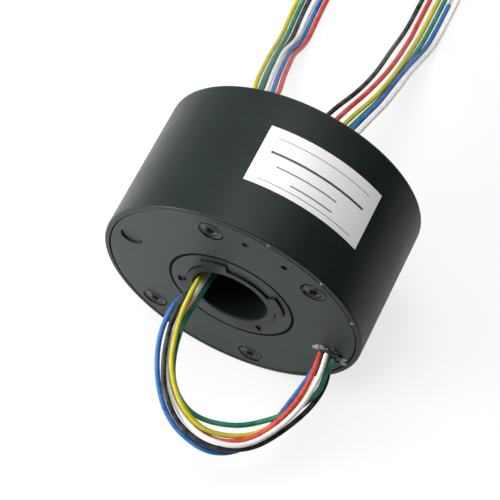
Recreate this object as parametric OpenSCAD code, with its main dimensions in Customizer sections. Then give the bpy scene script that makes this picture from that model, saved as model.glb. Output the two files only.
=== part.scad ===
// Through-bore slip ring: a fixed drum with two covers, a rotor on two thin ball bearings,
// six contact rings with wire brushes, and six leads on each side.
// +Y runs along the bore from the stator face (y = 0) into the drum, +Z is up, units are millimetres.

/* [Housing] */
// Outside diameter of the drum
housing_d = 99; // [98:0.5:104]
// Length of the drum along its axis
housing_l = 54; // [54:0.5:60]
// Wall of the drum between its covers
housing_wall = 4; // [3:0.5:4.5]
// Face width of the rim around each cover
rim_w = 2; // [1.5:0.25:3]
// Radius of the rounded outer edges
rim_round = 0.9; // [0.4:0.1:1.5]

/* [Covers] */
// Thickness of each cover
cover_t = 6; // [5:0.5:7]
// Width of the open groove around a cover
cover_groove = 0.3; // [0.2:0.05:0.5]
// Radius of the circle that the cover screws stand on
screw_circle_r = 40.3; // [38.5:0.1:41]
// Angle of the first of the six places on that circle
screw_angle = 40.5; // [30:0.5:50]
// Diameter of the countersunk screw heads
head_d = 8; // [7:0.25:8.5]
// Radius of the lead outlet hole
outlet_r = 4; // [3.5:0.1:4.5]

/* [Rotor] */
// Radius of the rotor sleeve on its bearing seats
sleeve_r = 22.5; // [22.3:0.05:22.6]
// Bore radius of the rotor sleeve
sleeve_bore_r = 19.05; // [18.5:0.05:19.5]
// Bore radius of the reducing bush
bush_bore_r = 14; // [13.8:0.1:14.5]
// How far the bush stands out of the stator face
bush_proud = 0.75; // [0.25:0.05:1.5]
// Outer radius of the rotor's end ring
end_ring_r = 23.2; // [22.8:0.05:23.3]
// Length of the clamping collar
collar_l = 8.4; // [7:0.1:12]
// Outer radius of the clamping collar
collar_r = 27; // [26.5:0.25:29]

/* [Bearings] */
// Pitch radius of the balls
ball_circle_r = 25.75; // [25.7:0.05:25.8]
// Ball diameter
ball_d = 3.8; // [3.6:0.1:3.9]
// Number of balls in each bearing
ball_count = 20; // [12:1:22]
// Width of each bearing
bearing_w = 7; // [6:0.5:7]

/* [Rings and brushes] */
// Radius of the contact rings
ring_r = 31; // [29:0.25:32]
// Width of a contact ring
ring_w = 3.4; // [3:0.1:3.6]
// Thickness of the insulator beside a ring
insulator_t = 1.6; // [1.2:0.1:1.8]
// Radius of a brush wire
wire_r = 0.35; // [0.2:0.05:0.4]

/* [Leads] */
// Diameter of a lead over its insulation
lead_d = 1.9; // [1.6:0.1:2]
// Length of every lead from its outlet to its end
lead_length = 330; // [300:5:340]

/* [Label] */
// Length of the label around the drum, in degrees
label_angle = 53.5; // [40:0.5:60]
// Height of the label along the axis
label_h = 23; // [18:0.5:26]
// Thickness of the label
label_t = 0.12; // [0.08:0.01:0.2]

/* [Hidden] */
$fn = 96;

cut = 0.5;                     // overrun of a cutting tool past the face it cuts
slip = 0.05;                   // radial room between pieces that slide together
housing_r = housing_d / 2;
rim_r = housing_r - rim_w;
cover_r = rim_r - cover_groove;

// The six places on the screw circle, numbered from the first angle
screw_places = [0, 1, 3, 4];
plug_place = 2;
outlet_place = 5;
outlet_turn = -2;              // the outlet stands a little off its sixth
small_hole_angle = 60.5;       // tapped hole for the anti-rotation bracket
sealed_hole_angle = 82;        // its twin, closed by a sealed screw
small_hole_r = 1.25;
small_hole_depth = 5;
plug_r = 4.1;

// Cover screws: a flat countersunk head and a plain shank in the pillar's hole
countersink_r = head_d / 2 + 0.25;
head_sink = 0.45;
head_cone = 2.2;
shank_r = 1.95;
shank_l = 14;
pillar_r = 3.5;

// Bearings: raceways in plain rings either side of the balls
ball_r = ball_d / 2;
race_r = ball_r + 0.1;
inner_race_r = ball_circle_r - 1.05;
outer_race_r = ball_circle_r + 1.05;
bearing_seat_r = ball_circle_r + 3.25;
hub_r = bearing_seat_r + 3.5;
bearing_start = 3;             // distance of each bearing from its end of the drum
lip_r = 23.8;                  // hole in each cover around the rotor
cage_w = 5.2;
cage_in = ball_circle_r - 0.6;
cage_out = ball_circle_r + 0.6;

// Reducing bush with four driving lugs that sit in the end ring's notches
bush_r = sleeve_bore_r - slip;
neck_r = 16.9;
lug_r = 20.4;
lug_angle = 30;
lug_first = 19;
lug_count = 4;
lug_gap = 0.2;
key_angle = 185;
key_r = 19.3;
key_screw_r = 0.95;
key_screw_l = 2.4;

// Collar and its screws
collar_start = housing_l + 0.6;
collar_end = collar_start + collar_l;
set_screw_r = 1.95;
set_screw_first = 45;
set_screw_tip = bush_bore_r + 0.4;
lead_slot_r = 24.8;
lead_slot_w = 2.3;
lead_slot_from = 156;
lead_slot_to = 191;

// Ring stack, centred between the bearings
ring_count = 6;
core_r = 24.5;
insulator_r = 33;
stack_l = ring_count * ring_w + (ring_count + 1) * insulator_t;
stack_start = (housing_l - stack_l) / 2;
ring_pitch = ring_w + insulator_t;
groove_depth = 0.7;

// Brush bars lie between the covers, and each carries a pair of wires for every ring
bar_angles = [10, 190];
bar_in = 36.5;
bar_out = 42.5;
bar_w = 15;
wire_gap = 0.08;
groove_w = 1.3;
groove_flank = atan(groove_w / 2 / groove_depth);
wire_path_r = ring_r - groove_depth + (wire_r + wire_gap) / sin(groove_flank);
wire_hold = 1.5;

// Leads
lead_r = lead_d / 2;
lead_sides = 8;
lead_steps = 2;                // rings swept for each route point
floor_z = -48.3;               // height of a lead that lies on the surface under the drum

BLACK = 0;
RED = 1;
YELLOW = 2;
GREEN = 3;
BLUE = 4;
WHITE = 5;
LEAD_COLOURS = ["#1d1d1f", "#d8402f", "#d9cf1f", "#159173", "#2f6fd0", "#f2f2ee"];

// Each stator lead from its outlet, round the open loop and along the bore
LOOP_BLACK = [
    [39, 1.5, -17], [39, -2, -17], [40.5, -8, -21], [39, -16, -24], [36, -24, -24.5], [32, -32, -24.5],
    [27.5, -38.5, -24.5], [22, -43, -23.5], [16.5, -45.5, -22.5], [10.5, -46.5, -21], [4, -45.5, -19],
    [-2.5, -42.5, -16.5], [-8.5, -36.5, -13], [-12, -30, -10.5], [-14, -23.5, -7], [-15.2, -15.5, -3.2],
    [-15.2, -8, -0.7], [-12.9, -0.5, -1], [-12.4, 10, -3.3], [-11.6, 18, -5.4], [-11.7, 27, -5.4],
    [-11, 36, -6.5], [-9.5, 46, -8.5], [-8, 56, -10], [-6.5, 64, -11], [-5, 72, -11.5]
];
LOOP_RED = [
    [35, 1.5, -14], [35, -2, -14], [35.5, -8.5, -16], [35, -15.5, -17.5], [33.5, -22.5, -19],
    [30, -31, -20.5], [25, -38, -21.5], [19, -42, -21.5], [12, -43.5, -21.5], [4, -42, -21],
    [-3, -38, -19], [-8, -32, -16.5], [-11.5, -24, -13], [-12.5, -14, -8.5], [-12.3, -5.5, -7.9],
    [-11.4, -0.5, -5.1], [-10.1, 10, -6.9], [-8.9, 18, -9.3], [-9.4, 22.5, -8.9], [-9.9, 27, -8.3],
    [-9.5, 36, -8.5], [-7.5, 46, -10], [-5.5, 56, -11.5], [-4, 64, -12], [-2.5, 72, -12]
];
LOOP_YELLOW = [
    [37.5, 1.5, -14.5], [37.5, -2, -14.5], [37.5, -7.5, -18], [36.5, -13.5, -20.5], [33.5, -21, -21.5],
    [30.5, -28, -23], [26, -34.5, -23], [20, -39, -22], [12.5, -42, -20], [6.5, -42, -18],
    [-0.5, -39, -15.5], [-5.5, -34.5, -13], [-10, -28, -10], [-12, -21, -6.5], [-13.2, -14, -3.4],
    [-13, -8, 0], [-12.4, -0.5, 2.5], [-12.5, 10, 0], [-12.2, 18, -2.5], [-10.5, 22.5, -3.7],
    [-8.3, 27, -6.2], [-7, 36, -9.5], [-5.5, 46, -11.5], [-3, 56, -12.5], [-1.5, 64, -12.5], [0, 72, -12]
];
LOOP_GREEN = [
    [40, 1.5, -14], [40, -2, -14], [39.5, -7, -17], [39.5, -12, -20], [36, -18, -23], [31.5, -23.5, -24],
    [25.5, -29, -24.5], [19.5, -34, -23.5], [13, -37, -22], [7.5, -38.5, -20.5], [2, -38.5, -18.5],
    [-4, -35.5, -16], [-8.5, -30, -13.5], [-11, -22.5, -10], [-12, -13.5, -6], [-11.4, -6, -6],
    [-10, -0.5, -2.1], [-9.7, 10, -3.4], [-8.9, 18, -5.3], [-6.3, 22.5, -6.3], [-5, 27, -7.8],
    [-4.5, 36, -9.5], [-3, 46, -12], [-0.5, 56, -12.5], [1, 64, -12.5], [2.5, 72, -12]
];
LOOP_BLUE = [
    [35.5, 1.5, -16.5], [35.5, -2, -16.5], [34.5, -7, -18.5], [33, -12.5, -21.5], [31, -19, -24.5],
    [29, -26.5, -27], [26.5, -34, -28], [22.5, -41, -27], [17.5, -45.5, -25.5], [11.5, -47.5, -24],
    [5.5, -47, -22], [-0.5, -45.5, -19.5], [-6.5, -41.5, -16.5], [-11, -36, -14], [-14.5, -30, -10],
    [-17, -22.5, -6.5], [-17.5, -15.5, -3.5], [-17, -9, -2.5], [-14.8, -4.5, -3], [-12.5, -0.5, -3],
    [-11.6, 10, -5.2], [-10.3, 18, -7.2], [-8.6, 22.5, -6.5], [-6.6, 27, -9], [-4, 36, -12],
    [-0.5, 46, -12.5], [2, 56, -12.5], [3.5, 64, -12], [5, 72, -12]
];
LOOP_WHITE = [
    [37.5, 1.5, -12], [37.5, -2, -12], [38, -7.5, -15.5], [37.5, -14.5, -17], [36, -22.5, -18.5],
    [32, -31.5, -20], [26.5, -39.5, -20.5], [19.5, -44, -20], [11, -45, -19], [3.5, -43, -18.5],
    [-4, -38.5, -16.5], [-9.5, -32.5, -14.5], [-13, -24.5, -11], [-14, -14.5, -7], [-13.4, -7, -3.4],
    [-12, -4, -2.3], [-11.2, -0.5, 0.5], [-11.2, 10, -1.6], [-10.4, 18, -3.7], [-7.6, 22.5, -4],
    [-3.6, 27, -6], [-1, 36.5, -11.5], [2, 46, -12.5], [4.5, 56, -12], [6, 64, -11], [7.5, 72, -11.5]
];
// Past the drum they lie side by side, green tucked under: y, z, drop of the green, then x of each lead
TAIL = [
    [82, -12, 1.6, -4.4, -1, 2.6, 4.6, 6.6, 9.4], [91, -13, 1.9, -2.7, 1.3, 5, 6.9, 8.8, 11.5],
    [99, -14.5, 2, -0.3, 3.3, 7, 8.7, 10.4, 13], [107, -17, 2.1, 2, 5.2, 9, 10.4, 11.8, 14.4],
    [118, -21, 2.3, 3.7, 6.9, 10.2, 11.3, 12.4, 15], [130, -27, 2.4, 3.7, 7.4, 10.4, 11.5, 12.6, 15],
    [142, -35, 1.6, 2.6, 6.6, 9.4, 11, 12.6, 15], [151, -41.5, 0.6, 1.8, 5.6, 8.6, 10.6, 12.6, 15],
    [160, -46.5, 0, 1.5, 5, 8, 10.3, 12.6, 15], [169, -48.3, 0, 1.5, 4.5, 7.7, 10.1, 12.5, 15],
    [182, -48.3, 0, 1.5, 4.5, 7.7, 10.1, 12.5, 15], [194, -48.3, 0, 1.5, 4.5, 7.7, 10.1, 12.5, 15],
    [206, -48.3, 0, 1.5, 4.5, 7.7, 10.1, 12.5, 15]
];
// The rotor leads leave the collar in an arc and turn level as they fall: y, then x and z of each lane
FAN_DROP = [
    [70, [-25.4, -3.2], [-25.6, -1], [-25.2, 1.1], [-24.6, 3.2], [-23.8, 5.2], [-22.8, 7]],
    [78, [-28, -3.4], [-26.5, -1.6], [-24.2, -1.3], [-23.8, 1.1], [-22.1, 2.9], [-20.5, 4.7]],
    [86, [-30.4, -3.2], [-28.1, -3.4], [-26.8, -6], [-25.6, -3.6], [-23.2, -3.4], [-20.8, -3.2]]
];
// Then they hang side by side, black tucked under: y, z, drop of the black, then x of each lane
FAN = [
    [99, -12.6, 2.5, -33.6, -31.4, -30.2, -29.1, -26.9, -24.7],
    [112, -22.4, 2.5, -36.6, -34.4, -33.3, -32.2, -30, -27.8],
    [123, -32, 2.4, -39.2, -37.1, -36, -34.9, -32.8, -30.7],
    [133, -40.5, 1.3, -41.4, -39.3, -37.5, -35.7, -33.6, -31.5],
    [142, -46.5, 0.2, -43.2, -41, -38.8, -36.7, -34.6, -32.5],
    [151, -48.3, 0, -44.5, -42.3, -40.1, -37.9, -35.7, -33.5],
    [163, -48.3, 0, -45, -42.8, -40.6, -38.4, -36.2, -34],
    [175, -48.3, 0, -45, -42.8, -40.6, -38.4, -36.2, -34]
];
FAN_ORDER = [2, 5, 0, 1, 4, 3];  // lane in the fan of black, red, yellow, green, blue, white
bend_centre = [-81.5, 186];      // the rotor leads end in an open bend about this point
bend_r = 36.5;
bend_lane = 2.2;
bend_step = 15;

// ---- Helpers ----

// Turns a solid drawn along z so that its z runs along the bore, from the stator face inwards
module axial() {
    rotate([-90, 0, 0]) children();
}

// Places a child at an angle round the bore, counted from +X towards +Z, at a radius
module at_angle(angle, radius = 0) {
    rotate([0, 0, -angle]) translate([radius, 0, 0]) children();
}

module tube_solid(outer, inner, from, to) {
    translate([0, 0, from])
        difference() {
            cylinder(h = to - from, r = outer);
            translate([0, 0, -cut]) cylinder(h = to - from + 2 * cut, r = inner);
        }
}

// Part of a ring, centred on an angle
module sector(outer, inner, from, to, angle, width) {
    at_angle(angle + width / 2)
        rotate_extrude(angle = width)
            translate([inner, from]) square([outer - inner, to - from]);
}

// Points of a quarter round from one angle to another, for profiles
function round_points(centre, radius, from, to, steps = 4) =
    [for (i = [0:steps]) let (a = from + (to - from) * i / steps)
        [centre.x + radius * cos(a), centre.y + radius * sin(a)]];

function place_angle(index) = screw_angle + 60 * index;
function outlet_angle() = place_angle(outlet_place) + outlet_turn;

// ---- Housing and covers ----

module housing() {
    inner = housing_r - housing_wall;
    profile = concat(
        [[inner, cover_t], [rim_r, cover_t], [rim_r, 0]],
        round_points([housing_r - rim_round, rim_round], rim_round, -90, 0),
        round_points([housing_r - rim_round, housing_l - rim_round], rim_round, 0, 90),
        [[rim_r, housing_l], [rim_r, housing_l - cover_t], [inner, housing_l - cover_t]]
    );
    color("#26292a") axial() rotate_extrude() polygon(profile);
}

// A cover with its hub and bearing seat, outer face at z = 0 and hub towards +z
module cover_blank() {
    edge = 0.4;
    profile = [
        [lip_r, edge / 2], [lip_r + edge / 2, 0], [cover_r - edge, 0], [cover_r, edge],
        [cover_r, cover_t], [hub_r, cover_t], [hub_r, bearing_start + bearing_w],
        [bearing_seat_r, bearing_start + bearing_w], [bearing_seat_r, bearing_start],
        [lip_r, bearing_start]
    ];
    rotate_extrude() polygon(profile);
}

// Tool that cuts a countersunk screw's seat from the outer face at z = 0
module countersink() {
    translate([0, 0, -cut]) cylinder(h = cut + head_sink, r = countersink_r);
    translate([0, 0, head_sink]) cylinder(h = head_cone, r1 = countersink_r, r2 = shank_r + 0.2);
    cylinder(h = cover_t + cut, r = shank_r + 0.2);
}

module stator_cover() {
    color("#2b2e2f") axial()
        difference() {
            cover_blank();
            for (place = screw_places)
                at_angle(place_angle(place), screw_circle_r) countersink();
            at_angle(place_angle(plug_place), screw_circle_r)
                translate([0, 0, -cut]) cylinder(h = cut + 4, r = plug_r + slip);
            at_angle(outlet_angle(), screw_circle_r)
                translate([0, 0, -cut]) cylinder(h = cover_t + 2 * cut, r = outlet_r);
            for (angle = [small_hole_angle, sealed_hole_angle])
                at_angle(angle, screw_circle_r)
                    translate([0, 0, -cut]) cylinder(h = cut + small_hole_depth, r = small_hole_r);
        }
}

module rotor_cover() {
    color("#2b2e2f") axial()
        translate([0, 0, housing_l]) mirror([0, 0, 1])
            difference() {
                cover_blank();
                for (place = screw_places)
                    at_angle(place_angle(place), screw_circle_r) countersink();
            }
}

// A countersunk screw with a cross recess, head at z = head_sink and shank towards +z
module cover_screw() {
    recess_l = head_d * 0.55;
    recess_w = 1;
    recess_depth = 1.3;
    translate([0, 0, head_sink])
        difference() {
            union() {
                cylinder(h = head_cone - 0.1, r1 = countersink_r - 0.15, r2 = shank_r);
                cylinder(h = shank_l, r = shank_r);
            }
            for (turn = [20, 110])
                rotate([0, 0, turn])
                    translate([-recess_l / 2, -recess_w / 2, -cut])
                        cube([recess_l, recess_w, cut + recess_depth]);
        }
}

module cover_screws() {
    for (place = screw_places)
        at_angle(place_angle(place), screw_circle_r) cover_screw();
}

module stator_cover_screws() {
    color("#3a3c3c") axial() cover_screws();
}

module rotor_cover_screws() {
    color("#3a3c3c") axial() translate([0, 0, housing_l]) mirror([0, 0, 1]) cover_screws();
}

// Pillars that tie the covers together, drilled at both ends for the cover screws
module tie_pillars() {
    depth = shank_l - cover_t + 2;
    color("silver") axial()
        for (place = screw_places)
            at_angle(place_angle(place), screw_circle_r)
                translate([0, 0, cover_t])
                    difference() {
                        cylinder(h = housing_l - 2 * cover_t, r = pillar_r);
                        translate([0, 0, -cut]) cylinder(h = cut + depth, r = shank_r + slip);
                        translate([0, 0, housing_l - 2 * cover_t - depth])
                            cylinder(h = cut + depth, r = shank_r + slip);
                    }
}

module cover_plug() {
    sunk = 0.7;
    depth = 4;
    color("#303334") axial()
        at_angle(place_angle(plug_place), screw_circle_r)
            rotate_extrude()
                polygon([[0, sunk], [plug_r - 0.3, sunk], [plug_r, sunk + 0.3], [plug_r, depth], [0, depth]]);
}

module sealed_screw() {
    color("#3a3c3c") axial()
        at_angle(sealed_hole_angle, screw_circle_r)
            translate([0, 0, 0.3])
                difference() {
                    cylinder(h = 4, r = small_hole_r - slip);
                    translate([-small_hole_r, -0.2, -cut]) cube([2 * small_hole_r, 0.4, cut + 0.5]);
                }
}

module outlet_potting() {
    color("#b9bdb8") axial()
        at_angle(outlet_angle(), screw_circle_r)
            translate([0, 0, 0.3]) cylinder(h = cover_t - 0.3, r = outlet_r - slip / 2);
}

module label() {
    from = 17.8;
    middle = 67.25;
    color("#f4f4f2") axial()
        sector(housing_r + label_t, housing_r, from, from + label_h, middle, label_angle);
}

// ---- Bearings ----

// Draws a bearing's children at the near or the far end of the drum
module bearing_place(far) {
    from = far ? housing_l - bearing_start - bearing_w : bearing_start;
    axial() translate([0, 0, from]) children();
}

module raceway() {
    translate([0, 0, bearing_w / 2])
        rotate_extrude() translate([ball_circle_r, 0]) circle(r = race_r);
}

module outer_race(far) {
    color("silver") bearing_place(far)
        difference() {
            tube_solid(bearing_seat_r, outer_race_r, 0, bearing_w);
            raceway();
        }
}

module inner_race(far) {
    color("silver") bearing_place(far)
        difference() {
            tube_solid(inner_race_r, sleeve_r, 0, bearing_w);
            raceway();
        }
}

module ball_row(radius) {
    for (i = [0:ball_count - 1])
        at_angle(360 * i / ball_count, ball_circle_r)
            translate([0, 0, bearing_w / 2]) sphere(r = radius);
}

module cage(far) {
    side = (bearing_w - cage_w) / 2;
    color("goldenrod") bearing_place(far)
        difference() {
            tube_solid(cage_out, cage_in, side, bearing_w - side);
            for (i = [0:ball_count - 1])
                at_angle(360 * i / ball_count, cage_in - cut)
                    translate([0, 0, bearing_w / 2])
                        rotate([0, 90, 0]) cylinder(h = cage_out - cage_in + 2 * cut, r = ball_r + 0.06);
        }
}

module balls(far) {
    color("lightgrey") bearing_place(far) ball_row(ball_r);
}

// ---- Rotor ----

module set_screw_holes(from, to) {
    for (i = [0:3])
        at_angle(set_screw_first + 90 * i)
            translate([0, 0, (collar_start + collar_end) / 2])
                rotate([0, 90, 0]) translate([0, 0, from]) cylinder(h = to - from, r = set_screw_r + slip);
}

module rotor_sleeve() {
    color("#c9ccce") axial()
        difference() {
            tube_solid(sleeve_r, sleeve_bore_r, bearing_start, collar_end);
            set_screw_holes(bush_bore_r, collar_r);
        }
}

// Bush that reduces the sleeve's bore. Its end is milled back to a neck between four driving lugs
module bore_bush() {
    bevel = 0.5;
    profile = [
        [bush_bore_r, bevel - bush_proud], [bush_bore_r + bevel, -bush_proud], [lug_r, -bush_proud],
        [lug_r, bearing_start], [bush_r, bearing_start], [bush_r, collar_end],
        [bush_bore_r + bevel, collar_end], [bush_bore_r, collar_end - bevel]
    ];
    color("#34383a") axial()
        difference() {
            rotate_extrude() polygon(profile);
            for (i = [0:lug_count - 1])
                sector(lug_r + 1, neck_r, -bush_proud - cut, bearing_start,
                    lug_first + 360 / lug_count * (i + 0.5), 360 / lug_count - lug_angle);
            key_hole();
            set_screw_holes(bush_bore_r - 2, collar_r);
        }
}

// Tool for the locking screw that sits half in the bush and half in the end ring
module key_hole() {
    at_angle(key_angle, key_r)
        translate([0, 0, -bush_proud - cut]) cylinder(h = bush_proud + cut + 2.5, r = key_screw_r + slip);
}

module rotor_end_ring() {
    edge = 0.25;
    profile = [
        [neck_r + lug_gap, 0], [end_ring_r - edge, 0], [end_ring_r, edge],
        [end_ring_r, bearing_start], [neck_r + lug_gap, bearing_start]
    ];
    notch_angle = lug_angle + 1.2;
    color("#303436") axial()
        difference() {
            rotate_extrude() polygon(profile);
            for (i = [0:lug_count - 1])
                sector(lug_r + lug_gap, neck_r - 1, -cut, bearing_start + cut,
                    lug_first + 90 * i, notch_angle);
            key_hole();
        }
}

module rotor_key_screw() {
    color("#8a8d8f") axial()
        at_angle(key_angle, key_r)
            translate([0, 0, 0.1])
                difference() {
                    cylinder(h = key_screw_l, r = key_screw_r);
                    translate([0, 0, -cut]) cylinder(h = cut + 0.8, r = 0.45, $fn = 6);
                }
}

module lead_slot(from, to, width = lead_slot_w) {
    sector(lead_slot_r + width / 2, lead_slot_r - width / 2, from, to,
        (lead_slot_from + lead_slot_to) / 2, lead_slot_to - lead_slot_from);
}

module rotor_collar() {
    edge = 0.6;
    profile = [
        [sleeve_r + slip, collar_start], [collar_r - edge, collar_start], [collar_r, collar_start + edge],
        [collar_r, collar_end - edge], [collar_r - edge, collar_end], [sleeve_r + slip, collar_end]
    ];
    color("#303436") axial()
        difference() {
            rotate_extrude() polygon(profile);
            lead_slot(collar_start - cut, collar_end + cut);
            set_screw_holes(sleeve_r - 1, collar_r + cut);
        }
}

module rotor_potting() {
    color("#b9bdb8") axial() lead_slot(collar_start + 0.4, collar_end - 0.3, lead_slot_w - 2 * slip);
}

module rotor_set_screws() {
    socket_r = 1.1;
    length = collar_r - 0.6 - set_screw_tip;
    color("#2a2a2c") axial()
        for (i = [0:3])
            at_angle(set_screw_first + 90 * i)
                translate([0, 0, (collar_start + collar_end) / 2])
                    rotate([0, 90, 0]) translate([0, 0, set_screw_tip])
                        difference() {
                            cylinder(h = length, r = set_screw_r);
                            translate([0, 0, length - 2]) cylinder(h = 2 + cut, r = socket_r, $fn = 6);
                        }
}

// ---- Rings and brushes ----

module ring_core() {
    color("#7a2f22") axial() tube_solid(core_r, sleeve_r + slip, stack_start, stack_start + stack_l);
}

module ring_insulators() {
    color("#7a2f22") axial()
        for (i = [0:ring_count])
            tube_solid(insulator_r, core_r + slip, stack_start + i * ring_pitch,
                stack_start + i * ring_pitch + insulator_t);
}

function ring_start(index) = stack_start + insulator_t + (index - 1) * ring_pitch;

// A contact ring with two V grooves for its brush wires
module contact_ring(index) {
    middles = [ring_w * 0.27, ring_w * 0.73];
    profile = concat(
        [[core_r + slip, 0], [ring_r, 0]],
        [for (m = middles, p = [[0, -0.5], [-groove_depth, 0], [0, 0.5]])
            [ring_r + p.x, m + p.y * groove_w]],
        [[ring_r, ring_w], [core_r + slip, ring_w]]
    );
    color("#d9a441") axial() translate([0, 0, ring_start(index)]) rotate_extrude() polygon(profile);
}

module brush_bar(angle) {
    color("#1f3b2d") axial()
        at_angle(angle)
            translate([bar_in, -bar_w / 2, cover_t]) cube([bar_out - bar_in, bar_w, housing_l - 2 * cover_t]);
}

// Two straight spring wires at each bar, tangent to the ring's grooves on either side of it
module brush_wires(index) {
    reach = sqrt(bar_in * bar_in - wire_path_r * wire_path_r);
    swing = acos(wire_path_r / bar_in);
    color("gold") axial()
        for (angle = bar_angles, side = [-1, 1])
            at_angle(angle + side * swing, wire_path_r)
                translate([0, 0, ring_start(index) + ring_w * (side < 0 ? 0.27 : 0.73)])
                    rotate([side < 0 ? 90 : -90, 0, 0])
                        translate([0, 0, -wire_hold]) cylinder(h = reach + 2 * wire_hold, r = wire_r);
}

// ---- Leads ----

function catmull(a, b, c, d, t) =
    0.5 * (2 * b + (c - a) * t + (2 * a - 5 * b + 4 * c - d) * t * t + (3 * b - a - 3 * c + d) * t * t * t);

// A smooth curve through the points, in steps between each two
function smooth(points, steps) =
    let (last = len(points) - 1)
    concat(
        [for (i = [0:last - 1], k = [0:steps - 1])
            catmull(points[max(i - 1, 0)], points[i], points[i + 1], points[min(i + 2, last)], k / steps)],
        [points[last]]
    );

// Distance along a curve at each of its points
function distances(points) =
    [for (i = 0, d = 0; i < len(points); i = i + 1,
        d = i < len(points) ? d + norm(points[i] - points[i - 1]) : d) d];

// The first part of a curve, cut to a length
function cut_to(points, length) =
    let (
        run = distances(points),
        kept = [for (i = [0:len(points) - 1]) if (run[i] < length - lead_r) points[i]],
        n = len(kept),
        share = (length - run[n - 1]) / (run[n] - run[n - 1])
    )
    concat(kept, [points[n - 1] + (points[n] - points[n - 1]) * share]);

function unit(v) = v / norm(v);

// A round tube along a curve, closed at both ends
module swept_lead(path) {
    last = len(path) - 1;
    rings = [for (i = [0:last])
        let (
            along = unit(path[min(i + 1, last)] - path[max(i - 1, 0)]),
            side = unit(cross(along, [0, 0, 1])),
            up = cross(side, along)
        )
        for (k = [0:lead_sides - 1])
            path[i] + lead_r * (cos(360 * k / lead_sides) * side + sin(360 * k / lead_sides) * up)];
    walls = [for (i = [0:last - 1], k = [0:lead_sides - 1])
        let (a = i * lead_sides + k, b = i * lead_sides + (k + 1) % lead_sides)
        for (face = [[a, b, b + lead_sides], [a, b + lead_sides, a + lead_sides]]) face];
    near_cap = [for (k = [lead_sides - 1:-1:0]) k];
    far_cap = [for (k = [0:lead_sides - 1]) last * lead_sides + k];
    polyhedron(points = rings, faces = concat(walls, [near_cap, far_cap]));
}

function stator_route(loop, rank) =
    concat(loop, [for (s = TAIL) [s[3 + rank], s[0], s[1] - (rank == GREEN ? s[2] : 0)]]);

function rotor_route(lane) =
    let (
        angle = lead_slot_to - 4 - 5.4 * lane,
        outlet = [lead_slot_r * cos(angle), lead_slot_r * sin(angle)],
        radius = bend_r + bend_lane * lane
    )
    concat(
        [for (y = [collar_end - 1.5, collar_end + 1.5]) [outlet.x, y, outlet.y]],
        [for (s = FAN_DROP) [s[1 + lane][0], s[0], s[1 + lane][1]]],
        [for (s = FAN) [s[3 + lane], s[0], s[1] - (lane == FAN_ORDER[BLACK] ? s[2] : 0)]],
        [for (a = [0:bend_step:330])
            [bend_centre.x + radius * cos(a), bend_centre.y + radius * sin(a), floor_z]]
    );

module stator_lead(loop, rank) {
    color(LEAD_COLOURS[rank])
        swept_lead(cut_to(smooth(stator_route(loop, rank), lead_steps), lead_length));
}

module rotor_lead(rank) {
    color(LEAD_COLOURS[rank])
        swept_lead(cut_to(smooth(rotor_route(FAN_ORDER[rank]), lead_steps), lead_length));
}

// ---- Nodes ----

housing();
stator_cover();
rotor_cover();
stator_cover_screws();
rotor_cover_screws();
tie_pillars();
cover_plug();
sealed_screw();
outlet_potting();
label();
outer_race(false);  // near_outer_race
inner_race(false);  // near_inner_race
cage(false);  // near_cage
balls(false);  // near_balls
outer_race(true);  // far_outer_race
inner_race(true);  // far_inner_race
cage(true);  // far_cage
balls(true);  // far_balls
rotor_sleeve();
bore_bush();
rotor_end_ring();
rotor_key_screw();
rotor_collar();
rotor_set_screws();
rotor_potting();
ring_core();
ring_insulators();
contact_ring(1);  // contact_ring_1
contact_ring(2);  // contact_ring_2
contact_ring(3);  // contact_ring_3
contact_ring(4);  // contact_ring_4
contact_ring(5);  // contact_ring_5
contact_ring(6);  // contact_ring_6
brush_bar(bar_angles[0]);  // brush_bar_right
brush_bar(bar_angles[1]);  // brush_bar_left
brush_wires(1);  // brush_wires_1
brush_wires(2);  // brush_wires_2
brush_wires(3);  // brush_wires_3
brush_wires(4);  // brush_wires_4
brush_wires(5);  // brush_wires_5
brush_wires(6);  // brush_wires_6
stator_lead(LOOP_BLACK, BLACK);  // stator_lead_black
stator_lead(LOOP_RED, RED);  // stator_lead_red
stator_lead(LOOP_YELLOW, YELLOW);  // stator_lead_yellow
stator_lead(LOOP_GREEN, GREEN);  // stator_lead_green
stator_lead(LOOP_BLUE, BLUE);  // stator_lead_blue
stator_lead(LOOP_WHITE, WHITE);  // stator_lead_white
rotor_lead(BLACK);  // rotor_lead_black
rotor_lead(RED);  // rotor_lead_red
rotor_lead(YELLOW);  // rotor_lead_yellow
rotor_lead(GREEN);  // rotor_lead_green
rotor_lead(BLUE);  // rotor_lead_blue
rotor_lead(WHITE);  // rotor_lead_white
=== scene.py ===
"""Looks of a through-bore slip ring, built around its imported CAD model.

Millimetres are turned to metres with MM. +Y runs along the bore from the stator face, +Z is up.
"""

import logging
import math
import random
from dataclasses import dataclass, field
from enum import Enum

import bmesh
import bpy
from mathutils import Matrix, Vector

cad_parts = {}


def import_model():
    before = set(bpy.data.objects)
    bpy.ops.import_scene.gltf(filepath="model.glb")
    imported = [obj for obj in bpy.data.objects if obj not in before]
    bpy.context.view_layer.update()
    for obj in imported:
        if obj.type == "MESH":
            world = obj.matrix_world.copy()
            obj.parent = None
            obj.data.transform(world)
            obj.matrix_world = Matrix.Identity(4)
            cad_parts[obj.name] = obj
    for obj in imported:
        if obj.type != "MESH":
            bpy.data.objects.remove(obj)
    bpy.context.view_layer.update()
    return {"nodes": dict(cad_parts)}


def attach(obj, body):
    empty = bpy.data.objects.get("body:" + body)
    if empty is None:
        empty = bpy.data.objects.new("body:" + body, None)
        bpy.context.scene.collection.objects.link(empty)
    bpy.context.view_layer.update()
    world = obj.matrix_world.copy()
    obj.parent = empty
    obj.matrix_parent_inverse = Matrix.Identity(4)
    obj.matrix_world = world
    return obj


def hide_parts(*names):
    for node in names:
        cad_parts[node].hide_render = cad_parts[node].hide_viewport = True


MM = 0.001
LOG = logging.getLogger("slip_ring")

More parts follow.
